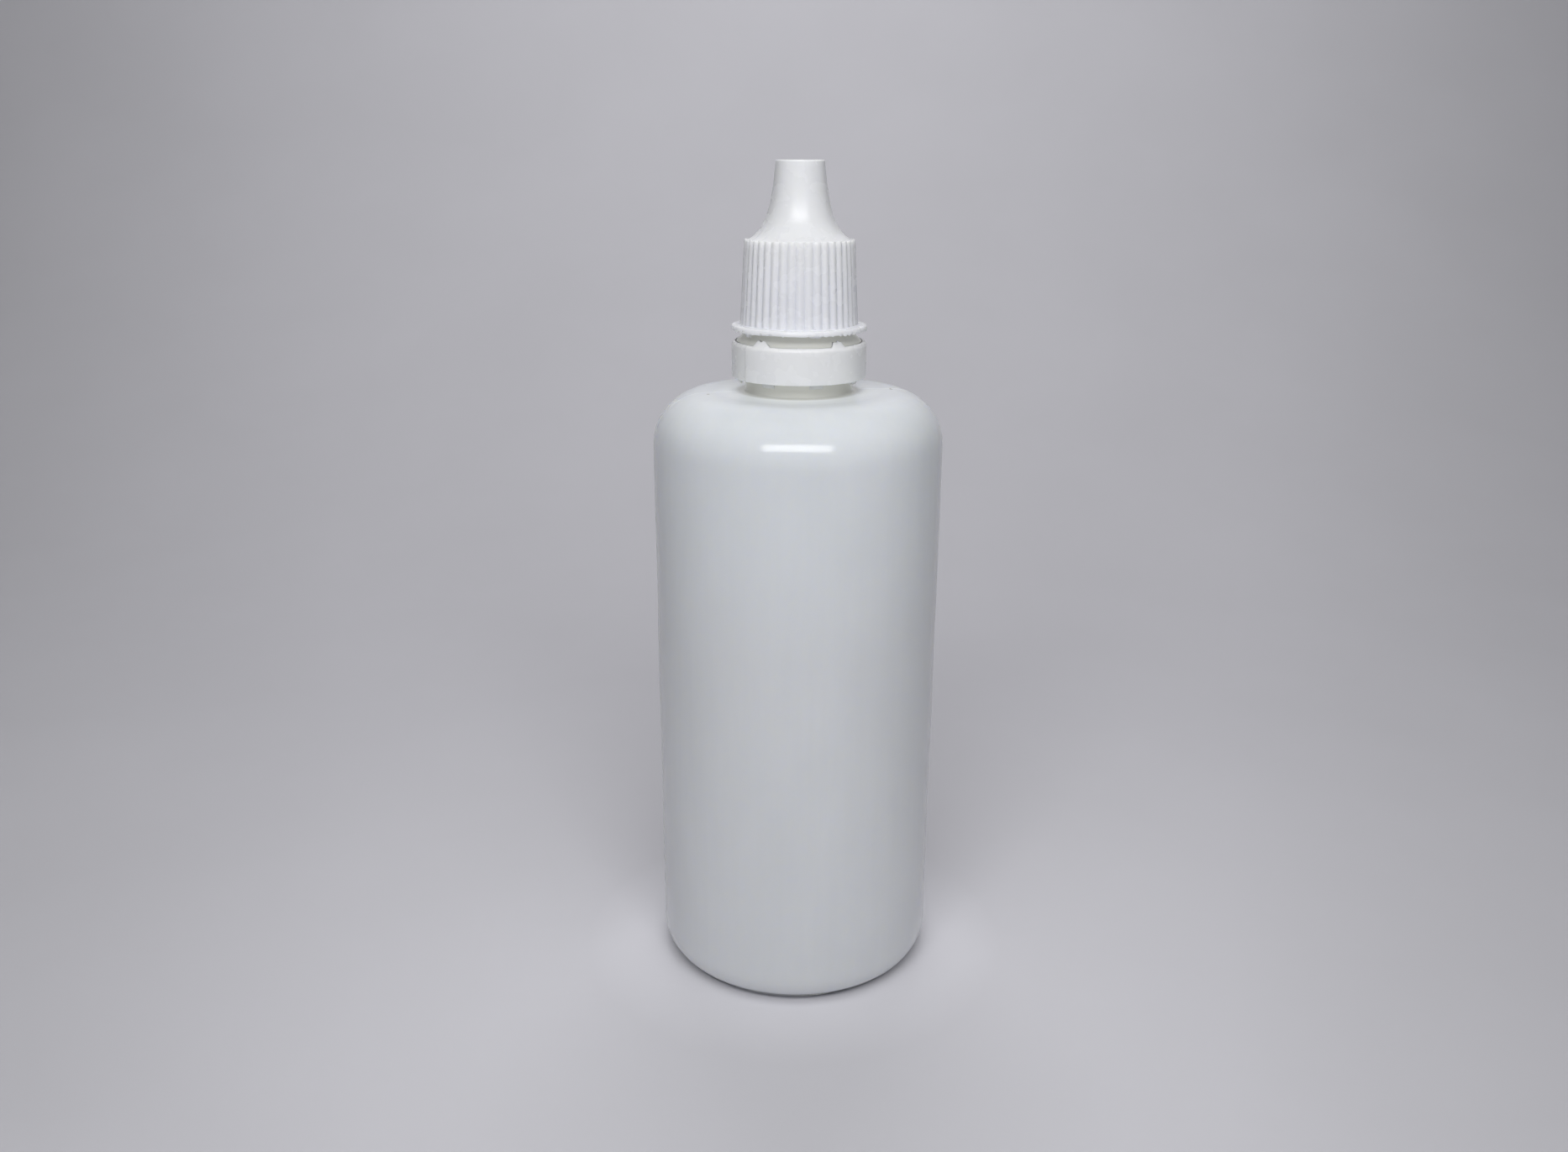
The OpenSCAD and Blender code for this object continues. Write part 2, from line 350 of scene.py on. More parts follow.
def bottle_outline():
    """Outside from the centre of the base to the rim, then inside back down to the base."""
    inner_r = BODY_R - WALL
    inner_neck_r = COLLAR_R - NECK_WALL
    thread_low = THREAD_Z - ROOT_HALF
    thread_top = THREAD_Z + RISE + ROOT_HALF
    bevel_r = BODY_R - FOOT_R * (1 - math.cos(FOOT_TURN))
    bevel_z = FOOT_R * (1 - math.sin(FOOT_TURN))
    foot_z = FOOT_R * (1 - math.tan(FOOT_TURN / 2))
    dome_rs = np.linspace(0, PUSH_UP_R - 1.5, 14)
    dome = [(r, PUSH_UP * (1 - (r / PUSH_UP_R) ** 2)) for r in dome_rs]
    dome_r, dome_z = dome[-1]
    outside = rounded([
        (dome_r, dome_z, 0),
        (PUSH_UP_R, 0, 1.6),
        (BODY_R - FOOT_R, 0, 0.8),
        (bevel_r, bevel_z, 0),
        (BODY_R, foot_z, FOOT_R * 0.98),
        (BODY_R, SHOULDER_Z - SHOULDER_FALL / 2, SHOULDER_R),
        (COLLAR_R, SHOULDER_Z + SHOULDER_FALL / 2, 0.4),
        (COLLAR_R, BEAD_Z, 0.2),
        (BEAD_R, BEAD_Z, 0.12),
        (BEAD_R, BEAD_TOP, 0.04),
        (FINISH_R, FINISH_Z, 0.5),
        (FINISH_R, thread_low, 0),
    ])
    threads = straight((FINISH_R, thread_low), (FINISH_R, thread_top), 0.11)
    inside = rounded([
        (FINISH_R, thread_top, 0),
        (FINISH_R, RIM_Z, 0.35),
        (BORE_R, RIM_Z, 0.3),
        (BORE_R, FINISH_Z, 1.5),
        (inner_neck_r, BEAD_Z, 1.5),
        (inner_neck_r, SHOULDER_Z - WALL, 0.9),
        (inner_r, SHOULDER_Z - WALL - SHOULDER_FALL, SHOULDER_R - WALL),
        (inner_r, WALL, FOOT_R),
        (PUSH_UP_R - 0.5, WALL, 1.6),
        (dome_r - 1, dome_z + WALL + 0.3, 0),
    ], spacing=4)
    crown = [(r, z + WALL) for r, z in dome[-3::-2]]
    crown[-1] = (0, PUSH_UP + WALL)
    return np.vstack([dome[:-1], outside[:-1], threads, inside, crown])


def parting_line(r, z, angle):
    """How far the mould's parting line stands out: a line on two sides, with flash on one."""
    from_seam = angle_from(angle, SEAM)
    line = np.maximum(window(from_seam * r, SEAM_HALF, SEAM_EDGE),
                      window(angle_from(angle, SEAM + math.pi) * r, SEAM_HALF, SEAM_EDGE))
    ragged = 0.03 + 0.05 * np.clip(waves(z, z * 0, 1.3, 7.7), 0, 1)
    flash = sum(size * window(z - height, 0.4, edge) for height, edge, size in FLASH)
    return line * (ragged + flash * (np.abs(from_seam) < 1))


def base_weld(r, angle):
    """How far the pinched weld hangs below the dome: a low ridge across the middle."""
    across = r * np.sin(angle)
    along = r * np.cos(angle)
    ridge = np.exp(-(across / WELD_WIDTH) ** 2) * window(along, WELD_HALF, 2)
    return WELD_DROP * ridge * smooth(r, 0, 0.2)


def bottle_shape(r, z, angle):
    """The thread, the uneven blown wall, the mould's parting line and the pinched weld."""
    outer = np.arange(len(z))[:, None] <= np.argmax(z[:, 0] >= RIM_Z - TINY)
    on_finish = outer & (np.abs(r - FINISH_R) < TINY)
    r = r + np.where(on_finish, THREAD_DEPTH * helical_ridge(z, angle, THREAD_Z), 0)
    body = smooth(r, COLLAR_R + 1, COLLAR_R + 4) * smooth(z, 1, 8)
    r = r + UNEVENNESS * body * waves(r * np.cos(angle) + 40, z + r * np.sin(angle), 17, 3.1)
    on_side = outer & (z > 0.3) & (r > COLLAR_R + 0.5)
    lift = np.where(on_side, parting_line(r, z, angle), 0)
    slope = smooth(z, SHOULDER_Z - SHOULDER_R, SHOULDER_Z - 1)
    r = r + lift * (1 - slope * 0.8)
    z = z + lift * slope
    under = outer & (z < PUSH_UP + 0.1) & (r < PUSH_UP_R - 1)
    z = z - np.where(under, base_weld(r, angle), 0)
    return r, z


# Dropper plug

def plug_outline():
    """A loop: up the outside of skirt and nozzle, over the tip and down the bore."""
    flange_low = RIM_Z + 0.02
    flange_top = RIM_Z + PLUG_FLANGE_H
    orifice_low = TIP_Z - ORIFICE_L
    skirt = [(PLUG_SKIRT_R - 0.5, PLUG_SKIRT_Z, 0.2), (PLUG_SKIRT_R, PLUG_SKIRT_Z + 0.9, 0.4)]
    for z in SEAL_BEADS_Z:
        skirt += [
            (PLUG_SKIRT_R, z - SEAL_BEAD_HALF, 0.1),
            (SEAL_BEAD_R, z, 0.15),
            (PLUG_SKIRT_R, z + SEAL_BEAD_HALF, 0.1),
        ]
    return rounded(skirt + [
        (PLUG_SKIRT_R, flange_low, 0.05),
        (PLUG_FLANGE_R, flange_low, 0.15),
        (PLUG_FLANGE_R, flange_top, 0.2),
        (PLUG_SKIRT_R - 0.6, flange_top, 0.5),
        (TIP_R, TIP_Z, 0.35),
        (2 * ORIFICE_R, TIP_Z, 0.12),
        (ORIFICE_R, TIP_Z - 0.7, 0.15),
        (ORIFICE_R, orifice_low, 0.1),
        (2 * ORIFICE_R, orifice_low, 0.2),
        (PLUG_INNER_R, RIM_Z, 1.2),
        (PLUG_INNER_R, PLUG_SKIRT_Z, 0.2),
    ], closed=True, spacing=1.0)


# Cap

def cap_outline():
    """From the centre of the spout's top down the outside, then up the inside to the pin."""
    groove_r = SKIRT_R - GROOVE
    groove_top_r = SKIRT_TOP_R - GROOVE
    thread_low = CAP_THREAD_Z - ROOT_HALF
    thread_top = CAP_THREAD_Z + RISE + ROOT_HALF
    dimple = [(0, CAP_TOP - 0.12), (0.5, CAP_TOP - 0.11), (0.75, CAP_TOP - 0.03)]
    spout = bezier((SPOUT_TOP_R, CAP_TOP - 0.3), *SPOUT_CURVE, (groove_top_r, SKIRT_TOP), 34)
    top = rounded([
        (1.0, CAP_TOP, 0),
        (SPOUT_TOP_R - 0.02, CAP_TOP, 0.22),
        (*spout[1], 0),
    ], spacing=0.8)
    skirt_top = np.array((groove_top_r, SKIRT_TOP))
    skirt_foot = np.array((groove_r, SKIRT_Z + 0.05))
    skirt = [(groove_top_r - 0.07, SKIRT_TOP + 0.02)]
    skirt += [skirt_top + (skirt_foot - skirt_top) * t for t in SKIRT_STEPS]
    flange = rounded([
        (groove_r, SKIRT_Z + 0.25, 0),
        (groove_r, SKIRT_Z, 0.2),
        (FLANGE_R - 0.15, SKIRT_Z - 0.06, 0.3),
        (FLANGE_R, FLANGE_Z + 0.3, 0.2),
        (FLANGE_R - 0.08, FLANGE_Z + 0.08, 0.08),
        (FLANGE_FLAT_R, FLANGE_Z, 0),
        (MOUTH_R, FLANGE_Z, 0.1),
        (CAP_WALL_R, SKIRT_Z, 0.4),
        (CAP_WALL_R, thread_low, 0),
    ], spacing=0.16)
    threads = straight((CAP_WALL_R, thread_low), (CAP_WALL_R, thread_top), 0.13)
    inside = rounded([
        (CAP_WALL_R, thread_top, 0),
        (CAP_WALL_R, CEILING_Z, 0.3),
        (SPOUT_BORE_R, CEILING_Z, 0.3),
        (SPOUT_BORE_TOP_R, SPOUT_BORE_Z, 0.5),
        (PIN_R, SPOUT_BORE_Z, 0.25),
        (PIN_R, SPOUT_BORE_Z - PIN_L, 0.15),
        (0, SPOUT_BORE_Z - PIN_L, 0),
    ], spacing=2)
    return np.vstack([dimple, top[:-1], spout[1:-1], skirt, flange[:-1], threads, inside])


def grip_ribs(r, z, angle, outer):
    """Ribs down the skirt that end in teeth above and run out on the flange below."""
    skirt = outer & (z < SKIRT_TOP + 0.01) & (z > SKIRT_Z - 0.12)
    crest = np.where(skirt, np.abs(np.cos(angle * RIBS / 2)) ** 0.9, 0)
    run_out = np.clip(1 - (r - SKIRT_R + GROOVE) / RIB_RUN_OUT, 0, 1)
    top = smooth(z, SKIRT_TOP - 0.2, SKIRT_TOP)
    return r + GROOVE * crest * run_out * (1 - 0.2 * top), z + TOOTH * crest * top


def torn_edge(r, z, angle):
    """The flange's edge: slightly wavy, with nicks and burrs along its lower side."""
    around = angle * FLANGE_R
    rim = smooth(r, SKIRT_R + 0.5, FLANGE_R) * (z < SKIRT_Z + 0.3)
    r = r + rim * 0.04 * waves(around, around * 0, 1.5, 1.7)
    z = z + rim * 0.05 * waves(around, around * 0, 2.2, 9.4)
    edge = rim * smooth(z, FLANGE_Z + 0.45, FLANGE_Z + 0.1)
    nicks = smooth(waves(around, r, 0.45, 6.6), 0.2, 0.9)
    burrs = smooth(waves(around, r, 0.38, 3.3), 0.45, 1.0)
    return r + edge * (0.06 * burrs - 0.1 * nicks), z + edge * (0.16 * nicks - 0.15 * burrs)


def bridge_stubs(r, angle):
    """How far the broken bridges' stubs hang below the flange."""
    hang = 0
    for turn, width, drop in BRIDGE_STUBS:
        along = angle_from(angle, FRONT + math.radians(turn)) * SKIRT_R
        ragged = 1 + 0.3 * waves(angle * SKIRT_R, r, 0.3, 2.0 + turn)
        stub = window(along, width / 2, 0.25) * window(r - SKIRT_R, 0.35, 0.3)
        hang = hang + drop * stub * ragged
    return hang


def cap_shape(r, z, angle):
    """The ribs, the inside thread, the torn edge, the stubs and flash on the spout."""
    outer = np.arange(len(z))[:, None] <= np.argmin(z[:, 0])
    r, z = grip_ribs(r, z, angle, outer)
    inner = ~outer & (np.abs(r - CAP_WALL_R) < TINY)
    r = r - np.where(inner, CAP_THREAD_DEPTH * helical_ridge(z, angle, CAP_THREAD_Z), 0)
    r, z = torn_edge(r, z, angle)
    under = outer & (z < FLANGE_Z + 0.3) & (r > CAP_WALL_R + 0.8)
    z = z - np.where(under, bridge_stubs(r, angle), 0)
    burr = window(angle_from(angle, SEAM) * r, 0.04, 0.24) * window(z - BURR_Z, 0.35, 0.3)
    r = r + np.where(outer, 0.14 * burr, 0)
    return r, z


# Tamper ring

def ring_outline():
    """The ring's section: a rounded outer top edge, and the other edges just broken."""
    return rounded([
        (RING_INNER_R, RING_Z, 0.1),
        (RING_R, RING_Z, 0.12),
        (RING_R, RING_TOP, 0.6),
        (RING_INNER_R, RING_TOP, 0.04),
    ], closed=True, spacing=0.35)


def ring_shape(r, z, angle):
    """Broken bridges on the top edge and the step of the weld where the plastic met."""
    for turn, width, height, fall in BRIDGE_LUMPS:
        along = angle_from(angle, FRONT + math.radians(turn)) * RING_INNER_R
        ragged = 1 + 0.25 * waves(angle * RING_INNER_R, r, 0.45, 4.0 + turn)
        lump = window(along, width / 2, 0.6) * smooth(z, RING_TOP - 0.35, RING_TOP)
        lump = lump * smooth(r, RING_INNER_R + 0.55, RING_INNER_R + 0.15) * ragged
        lump = lump * (1 - fall * smooth(along, -width / 8, width / 2 + 0.2))
        z = z + height * lump
        r = r - 0.5 * height * lump
    beyond = -angle_from(angle, RING_WELD) * RING_R
    outside = smooth(r, RING_INNER_R + 0.2, RING_R - 0.15)
    step = smooth(beyond, -0.02, 0.16) * smooth(beyond, 9, 2)
    lip = window(beyond + 0.1, 0.06, 0.16)
    return r + outside * (0.05 * lip - 0.13 * step), z


def lug_root(mesh, centre):
    """Faces low on the ring's inner wall that a catch lug at this angle grows from."""
    faces = []
    for face in mesh.faces:
        mid = face.calc_center_median() / MM
        along = angle_from(math.atan2(mid.y, mid.x), centre) * RING_INNER_R
        on_wall = math.hypot(mid.x, mid.y) < RING_INNER_R + 0.02
        if on_wall and abs(along) < LUG_HALF_WIDTH and RING_Z + 0.1 < mid.z < RING_Z + 0.8:
            faces.append(face)
    return faces


def catch_lugs(piece):
    """Extrudes flaps from the ring's inner wall that lean up and in under the bead."""
    mesh = bmesh.new()
    mesh.from_mesh(piece.data)
    for k in range(LUGS):
        centre = FRONT + LUG_TURN + 2 * math.pi * k / LUGS
        outward = Vector((math.cos(centre), math.sin(centre), 0))
        patch = lug_root(mesh, centre)
        for out, up in LUG_PATH:
            grown = bmesh.ops.extrude_face_region(mesh, geom=patch)["geom"]
            bmesh.ops.delete(mesh, geom=patch, context="FACES_KEEP_BOUNDARY")
            patch = [part for part in grown if isinstance(part, bmesh.types.BMFace)]
            for part in grown:
                if isinstance(part, bmesh.types.BMVert):
                    part.co += (outward * out + Vector((0, 0, up))) * MM
    bmesh.ops.recalc_face_normals(mesh, faces=mesh.faces)
    mesh.to_mesh(piece.data)
    mesh.free()
    return piece


# Materials

class Shader:
    """A material's node tree, with short calls to add and join nodes."""

    def __init__(self, name):
        self.material = bpy.data.materials.new(name)
        self.material.use_nodes = True
        self.tree = self.material.node_tree
        self.surface = self.tree.nodes["Principled BSDF"]
        self.place = self.add("ShaderNodeTexCoord").outputs["Object"]

    def add(self, kind, values=None, **settings):
        """A node with its settings, and with inputs set to values or joined to sockets."""
        made = self.tree.nodes.new(kind)
        for key, value in settings.items():
            setattr(made, key, value)
        for key, value in (values or {}).items():
            self.put(made.inputs[key], value)
        return made

    def put(self, socket, value):
        """Joins a socket to another, or sets its value."""
        if isinstance(value, bpy.types.NodeSocket):
            self.tree.links.new(value, socket)
        else:
            socket.default_value = value

    def set(self, **values):
        """Inputs of the Principled surface, with underscores for spaces."""
        for key, value in values.items():
            self.put(self.surface.inputs[key.replace("_", " ")], value)

    def grain(self, size, detail=2.0, stretch=(1, 1, 1), distortion=0.0):
        """Noise whose features are about size millimetres, stretched along the axes."""
        scale = tuple(1 / (size * MM * s) for s in stretch)
        spread = self.add("ShaderNodeMapping", {"Vector": self.place, "Scale": scale})
        made = self.add("ShaderNodeTexNoise", {
            "Vector": spread.outputs["Vector"], "Scale": 1.0, "Detail": detail,
            "Distortion": distortion})
        return made.outputs["Fac"]

    def ranged(self, value, low, high, to_low=0.0, to_high=1.0):
        """A value mapped from one range to another and held inside it."""
        made = self.add("ShaderNodeMapRange", {
            "Value": value, "From Min": low, "From Max": high,
            "To Min": to_low, "To Max": to_high})
        return made.outputs["Result"]

    def rising(self, low, high, to_low=0.0, to_high=1.0):
        """The height above the table mapped from a range of millimetres."""
        height = self.add("ShaderNodeSeparateXYZ", {"Vector": self.place}).outputs["Z"]
        return self.ranged(height, low * MM, high * MM, to_low, to_high)

    def maths(self, operation, a, b):
        """The result of one operation on two values."""
        made = self.add("ShaderNodeMath", {0: a, 1: b}, operation=operation)
        return made.outputs[0]

    def mixed(self, factor, a, b):
        """Colour a where factor is 0 and b where it is 1."""
        made = self.add("ShaderNodeMix", data_type="RGBA")
        self.put(made.inputs["Factor"], factor)
        self.put(made.inputs["A"], a)
        self.put(made.inputs["B"], b)
        return made.outputs["Result"]

    def bumps(self, *layers):
        """Joins (height socket, depth in millimetres) layers into one normal."""
        normal = None
        for height, depth in layers:
            values = {"Height": height, "Distance": depth * MM, "Strength": 1.0}
            if normal is not None:
                values["Normal"] = normal
            normal = self.add("ShaderNodeBump", values).outputs["Normal"]
        return normal

    def within(self, centre, radius, edge):
        """1 inside a sphere, falling to 0 across its edge, all in millimetres."""
        away = self.add("ShaderNodeVectorMath", {
            0: self.place, 1: tuple(c * MM for c in centre)}, operation="DISTANCE")
        return self.ranged(away.outputs["Value"], (radius + edge / 2) * MM,
                           (radius - edge / 2) * MM)

    def spots(self, points):
        """1 inside any of the small spheres given as (centre, radius) in millimetres."""
        total = 0.0
        for centre, radius in points:
            total = self.maths("MAXIMUM", total, self.within(centre, radius * 0.7, radius * 0.6))
        return total


def neck_mask(s, spread, edge):
    """1 in the neck and for spread millimetres round its foot, by a sphere round both."""
    rise = 10
    return s.within((0, 0, SHOULDER_Z + rise), math.hypot(rise, COLLAR_R + spread), edge)


def natural_colour(s, neck):
    """Milky, with clouds, flow lines and specks, painted shade low down, and a neck darkened by
    its own duller tone and by painted shade.
    """
    clear, milky = (0.775, 0.815, 0.84, 1), (0.82, 0.86, 0.885, 1)
    flow_line = (0.75, 0.79, 0.81, 1)
    # Painted shade: the body's colour darkens towards the bottom, where less light reaches it.
    low_body_shade = (0.34, 0.26, 0.26, 1)
    # The neck's duller thick-plastic tone, deepened with painted shade for the gap under the
    # cap's flange.
    neck_tone_and_shade = (0.42, 0.42, 0.395, 1)
    speck = (0.30, 0.29, 0.26, 1)
    clouds = s.ranged(s.grain(14, 3, (1, 1, 2.2), 0.6), 0.3, 0.7)
    flow = s.ranged(s.grain(1.6, 2, (1, 1, 14)), 0.35, 0.65)
    colour = s.mixed(clouds, clear, milky)
    colour = s.mixed(s.maths("MULTIPLY", flow, 0.18), colour, flow_line)
    # Painted shade low on the body, fading out between 55 and 85 mm up.
    colour = s.mixed(s.rising(55, 85, 0.16, 0.0), colour, low_body_shade)
    # Partly painted shade: the neck is darkened where the cap's flange and ring shade it.
    colour = s.mixed(neck, colour, neck_tone_and_shade)
    return s.mixed(s.spots(shoulder_specks()), colour, speck)


def painted_neck_glow(s, neck, below_thread):
    """Painted light: an emission glow in the neck and round its foot, standing in for the light
    that reaches the thick neck through the shoulder.
    """
    facing = s.add("ShaderNodeLayerWeight").outputs["Facing"]
    inside = s.maths("MULTIPLY", neck, s.ranged(facing, 0.0, 0.5, 0.48, 0.26))
    # Painted light on the shoulder round the neck's foot, lifting the shade there.
    around = s.maths("MULTIPLY", neck_mask(s, 3, 2.5), 0.16)
    return s.maths("MULTIPLY", s.maths("MAXIMUM", inside, around), below_thread)


def natural_polyethylene():
    """Translucent, waxy and faintly cloudy: the blown bottle, its thick neck darkened by its own
    duller tone and by painted shade, and lit by a painted glow.
    """
    s = Shader("natural_polyethylene")
    below_thread = s.rising(FLANGE_Z + 2.5, FLANGE_Z + 0.8)
    neck = s.maths("MULTIPLY", neck_mask(s, 0.9, 0.8), below_thread)
    smear = s.ranged(s.grain(9, 4, (1, 1, 1.6), 1.2), 0.35, 0.7, 0.13, 0.19)
    normal = s.bumps(
        (s.grain(22, 1), 0.12),
        (s.grain(1.8, 2, (1, 1, 9)), 0.006),
        (s.grain(0.45, 2), 0.003),
    )
    s.set(Base_Color=natural_colour(s, neck), Roughness=smear, IOR=1.51, Normal=normal,
          Subsurface_Weight=1.0, Subsurface_Radius=(1.25, 1.2, 1.0),
          # Painted light: the neck glows by emission, though it is no lamp.
          Subsurface_Scale=1.3 * MM, Emission_Color=(0.63, 0.64, 0.60, 1),
          Emission_Strength=painted_neck_glow(s, neck, below_thread),
          Specular_IOR_Level=s.ranged(neck, 0, 1, 0.5, 0.05))
    return s.material


def shoulder_specks():
    """The dark inclusions on the shoulder, as (centre, radius)."""
    specks = []
    for turn, r, size in SPECKS:
        a = FRONT + math.radians(turn)
        specks.append(((r * math.cos(a), r * math.sin(a), SHOULDER_Z - 0.02), size))
    return specks


def plug_polyethylene():
    """The moulded dropper plug: a little clearer and smoother than the bottle."""
    s = Shader("plug_polyethylene")
    clouds = s.ranged(s.grain(4, 2), 0.3, 0.7)
    colour = s.mixed(clouds, (0.80, 0.82, 0.81, 1), (0.85, 0.86, 0.85, 1))
    normal = s.bumps((s.grain(0.3, 2), 0.002), (s.grain(1.5, 1, (1, 1, 0.2)), 0.004))
    s.set(Base_Color=colour, Roughness=s.ranged(clouds, 0, 1, 0.20, 0.28), IOR=1.51,
          Normal=normal, Subsurface_Weight=1.0, Subsurface_Radius=(1.2, 1.2, 1.0),
          Subsurface_Scale=1.5 * MM)
    return s.material


def white_polyethylene():
    """Pigmented moulded plastic, thin enough to glow a little: the cap and its ring."""
    s = Shader("white_polyethylene")
    dull, bright = (0.877, 0.890, 0.938, 1), (0.887, 0.899, 0.946, 1)
    scuffed = (0.55, 0.55, 0.53, 1)
    # Painted shade: the grey that the flange and the lower skirt are darkened towards.
    skirt_shade_grey = (0.5, 0.5, 0.52, 1)
    patches = s.ranged(s.grain(5, 2, distortion=0.5), 0.15, 0.85)
    scuff = s.maths("MULTIPLY", s.spots(SCUFF), 0.5)
    # Painted shade, strongest on the flange and fading out up the skirt; the ring is left out.
    low_skirt_shade = s.maths("MULTIPLY", s.rising(RING_TOP, FLANGE_Z),
                    s.rising(SKIRT_Z + 4, SKIRT_Z + 11, 0.1, 0.0))
    colour = s.mixed(low_skirt_shade, s.mixed(scuff, s.mixed(patches, dull, bright), scuffed), skirt_shade_grey)
    normal = s.bumps((s.grain(0.9, 2, (1, 1, 5)), 0.002), (s.grain(0.25, 2), 0.001))
    s.set(Base_Color=colour, IOR=1.5, Normal=normal,
          Roughness=s.ranged(s.grain(2.5, 2), 0.2, 0.8, 0.24, 0.30),
          Subsurface_Weight=1.0, Subsurface_Radius=(1.0, 1.0, 0.95),
          Subsurface_Scale=s.rising(SKIRT_TOP, SKIRT_TOP + 3, 1.0 * MM, 0.4 * MM))
    return s.material


def backdrop_paper():
    """Pale, faintly lilac paper with a soft tooth and a faint mottle, with a painted pool of
    light that makes it lightest round the bottle, and painted shade towards the sides of the
    camera's view.
    """
    s = Shader("backdrop_paper")
    painted_foot_light, pale = (0.75, 0.745, 0.79, 1), (0.66, 0.655, 0.695, 1)
    distant, shade = (0.618, 0.613, 0.653, 1), (0.2, 0.2, 0.2, 1)
    eye = 215
    away = s.add("ShaderNodeVectorMath", {0: s.place}, operation="LENGTH").outputs["Value"]
    # Painted light: the paper is lightest round the bottle's foot, lifting its contact shadow.
    colour = s.mixed(s.ranged(away, 21 * MM, 34 * MM), painted_foot_light, pale)
    # Painted light: paler out to about 120 mm from the bottle, a soft pool round it.
    colour = s.mixed(s.ranged(away, 50 * MM, 120 * MM), colour, distant)
    # Painted shade: the paper darkens towards the sides of the camera's view, more on the floor
    # than up the wall, and not in front of the bottle.
    place = s.add("ShaderNodeSeparateXYZ", {"Vector": s.place}).outputs
    depth = s.maths("ADD", place["Y"], eye * MM)
    aside = s.maths("DIVIDE", s.maths("ABSOLUTE", place["X"], 0.0), depth)
    in_view = s.ranged(place["Y"], -100 * MM, -45 * MM)
    dim = s.maths("MULTIPLY", s.ranged(aside, 0.34, 0.6),
                  s.maths("MULTIPLY", s.rising(0, 250, 0.15, 0.06), in_view))
    mottle = s.ranged(s.grain(60, 3), 0.3, 0.7, 0, 0.04)
    # Painted shade and the paper's mottle both darken it towards the shade grey.
    colour = s.mixed(s.maths("ADD", dim, mottle), colour, shade)
    s.set(Base_Color=colour, Roughness=0.9, Normal=s.bumps((s.grain(0.5, 3), 0.01)))
    return s.material


def dress(piece, material):
    """Gives a piece its material."""
    piece.data.materials.clear()
    piece.data.materials.append(material)


# Stage, light and camera

def build_backdrop():
    """A seamless sweep: floor, curve and wall in one sheet."""
    half_width, front, back, bend, top = 490, -380, 520, 380, 1300
    outline = [(front, 0)] + [(y, 0) for y in np.linspace(front + 100, back - bend, 8)]
    for a in np.linspace(0, math.pi / 2, 17)[1:]:
        outline.append((back - bend + bend * math.sin(a), bend - bend * math.cos(a)))
    outline.append((back, top))
    mesh = bmesh.new()
    rows = [
        [mesh.verts.new((x * MM, y * MM, z * MM)) for x in (-half_width, 0, half_width)]
        for y, z in outline
    ]
    for low, high in zip(rows, rows[1:]):
        for j in (0, 1):
            mesh.faces.new((low[j], low[j + 1], high[j + 1], high[j]))
    sheet = finish_mesh("backdrop", mesh)
    dress(sheet, backdrop_paper())


def softbox(name, where, target, size, watts, mirrored=True):
    """A rectangular area lamp at where, facing target; lengths in millimetres.

    A lamp that isn't mirrored lights the scene but leaves no highlight."""
    lamp = bpy.data.lights.new(name, "AREA")
    lamp.shape = "RECTANGLE"
    lamp.size = size[0] * MM
    lamp.size_y = size[1] * MM
    lamp.energy = watts
    made = bpy.data.objects.new(name, lamp)
    made.location = Vector(where) * MM
    made.rotation_mode = "QUATERNION"
    made.rotation_quaternion = (Vector(target) - Vector(where)).to_track_quat("-Z", "Y")
    made.visible_glossy = mirrored
    bpy.context.scene.collection.objects.link(made)


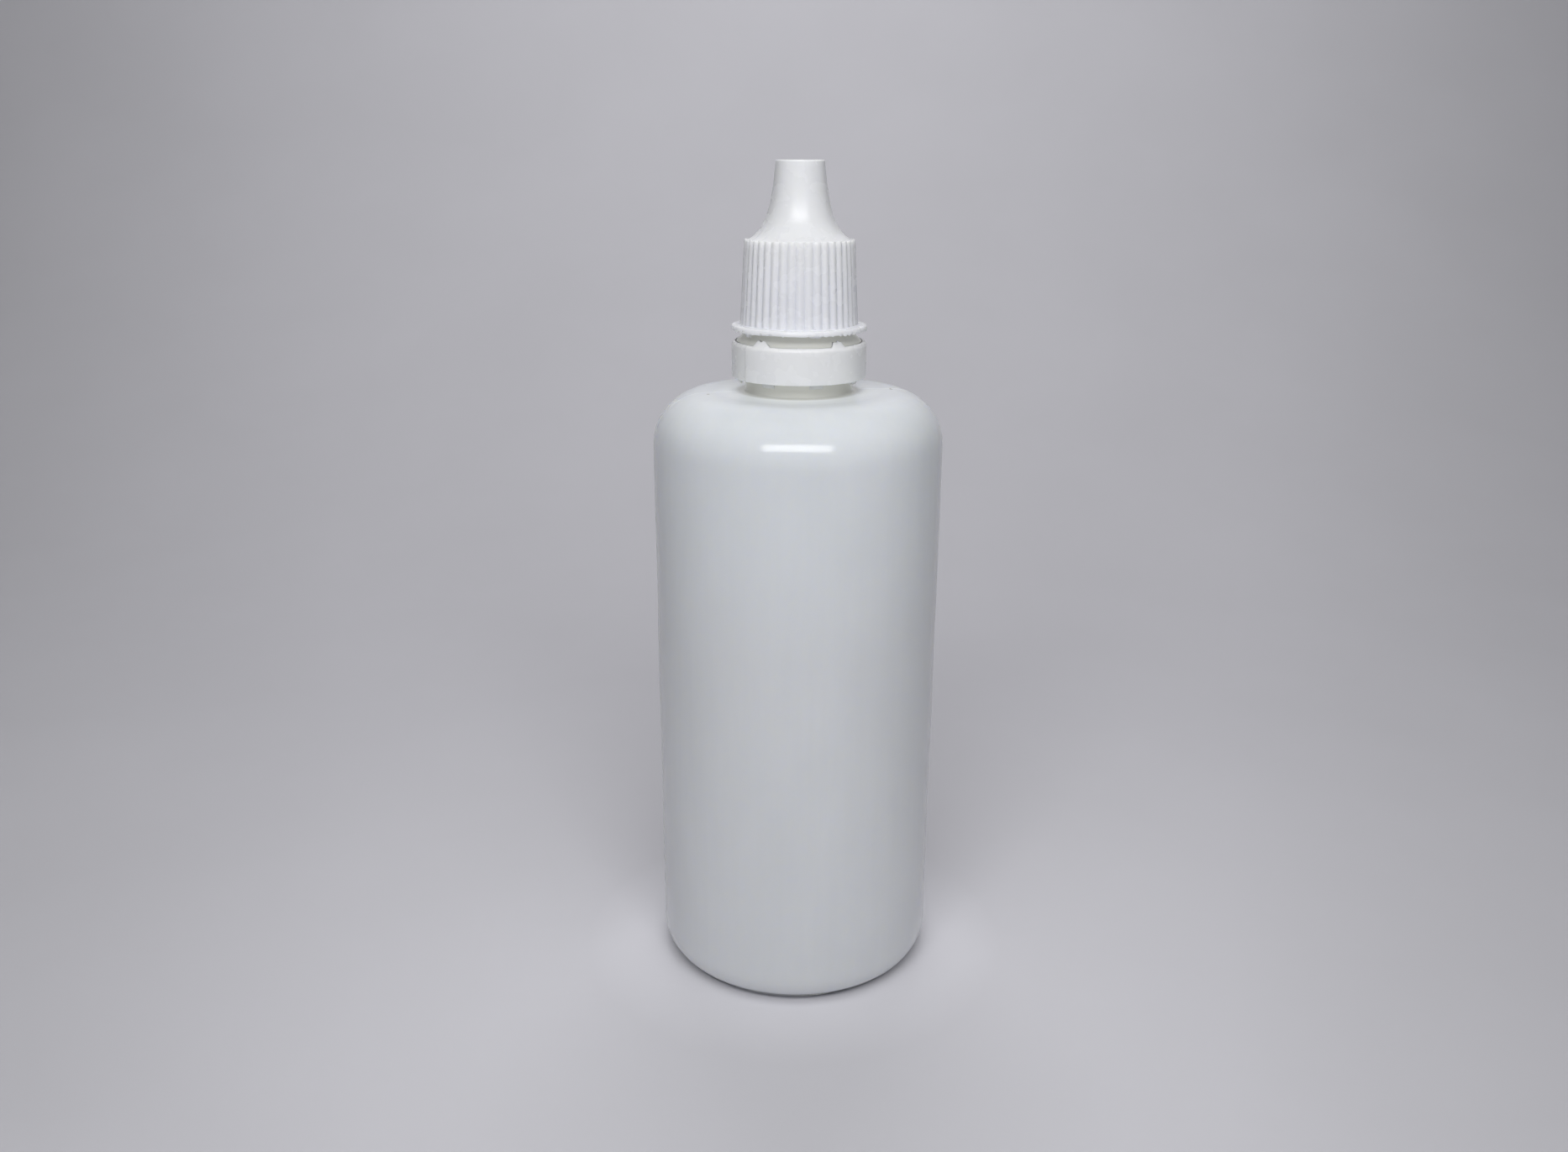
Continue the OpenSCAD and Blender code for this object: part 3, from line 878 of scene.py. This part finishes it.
def build_light():
    """A wide strip above the camera, a higher fill, a wash on the backdrop, and a dim room
    that only the camera sees as pale."""
    shoulder = (0, -15, 88)
    softbox("key_strip", (-12, -408, 402), shoulder, (465, 130), 1.33)
    softbox("high_fill", (0, -270, 520), shoulder, (500, 400), 1.33, mirrored=False)
    softbox("backdrop_wash", (0, 250, 600), (0, 520, 200), (250, 150), 1.15, mirrored=False)
    world = bpy.data.worlds.new("room")
    bpy.context.scene.world = world
    world.use_nodes = True
    room = world.node_tree.nodes["Background"]
    room.inputs["Color"].default_value = (0.97, 0.98, 1.0, 1)
    as_light, as_seen = 0.045, 0.42
    seen = world.node_tree.nodes.new("ShaderNodeLightPath").outputs["Is Camera Ray"]
    strength = world.node_tree.nodes.new("ShaderNodeMapRange")
    strength.inputs["To Min"].default_value = as_light
    strength.inputs["To Max"].default_value = as_seen
    world.node_tree.links.new(seen, strength.inputs["Value"])
    world.node_tree.links.new(strength.outputs["Result"], room.inputs["Strength"])


def build_camera():
    """Looks a little down at the bottle, from about the height of its top."""
    back, height, aside = 189.2, CAP_TOP - 0.3, -1.98
    pitch, roll = 17.66, 0.29
    data = bpy.data.cameras.new("camera")
    data.sensor_width = 36
    data.lens = 29.87
    data.clip_start = 0.01
    camera = bpy.data.objects.new("camera", data)
    bpy.context.scene.collection.objects.link(camera)
    camera.matrix_world = (
        Matrix.Translation(Vector((aside, -back, height)) * MM)
        @ Matrix.Rotation(math.radians(90 - pitch), 4, "X")
        @ Matrix.Rotation(math.radians(roll), 4, "Z")
    )
    bpy.context.scene.camera = camera


def build_object():
    """The four pieces, each riding on the body its CAD node belongs to."""
    natural = natural_polyethylene()
    white = white_polyethylene()
    round_bottle = columns(240, (SEAM_TURN, SEAM_TURN + 180))
    bottle = lathe("bottle_shell", bottle_outline(), round_bottle, bottle_shape)
    plug = lathe("dropper_nozzle", plug_outline(), columns(144))
    cap = lathe("screw_cap", cap_outline(), columns(RIBS * 12), cap_shape)
    ring = catch_lugs(lathe("seal_ring", ring_outline(), columns(480), ring_shape))
    table = [
        (bottle, "bottle", natural, "bottle_plastic"),
        (plug, "dropper_plug", plug_polyethylene(), "plug_plastic"),
        (cap, "cap", white, "cap_plastic"),
        (ring, "tamper_ring", white, "cap_plastic"),
    ]
    bodies = frame["record"]["behaviour"]["bodies"]
    for piece, node, material, slot in table:
        dress(piece, material)
        body = next(name for name, nodes in bodies.items() if node in nodes)
        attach(piece, body)
        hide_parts(node)


build_object()
build_backdrop()
build_light()
build_camera()
bpy.context.scene.view_settings.view_transform = "Standard"
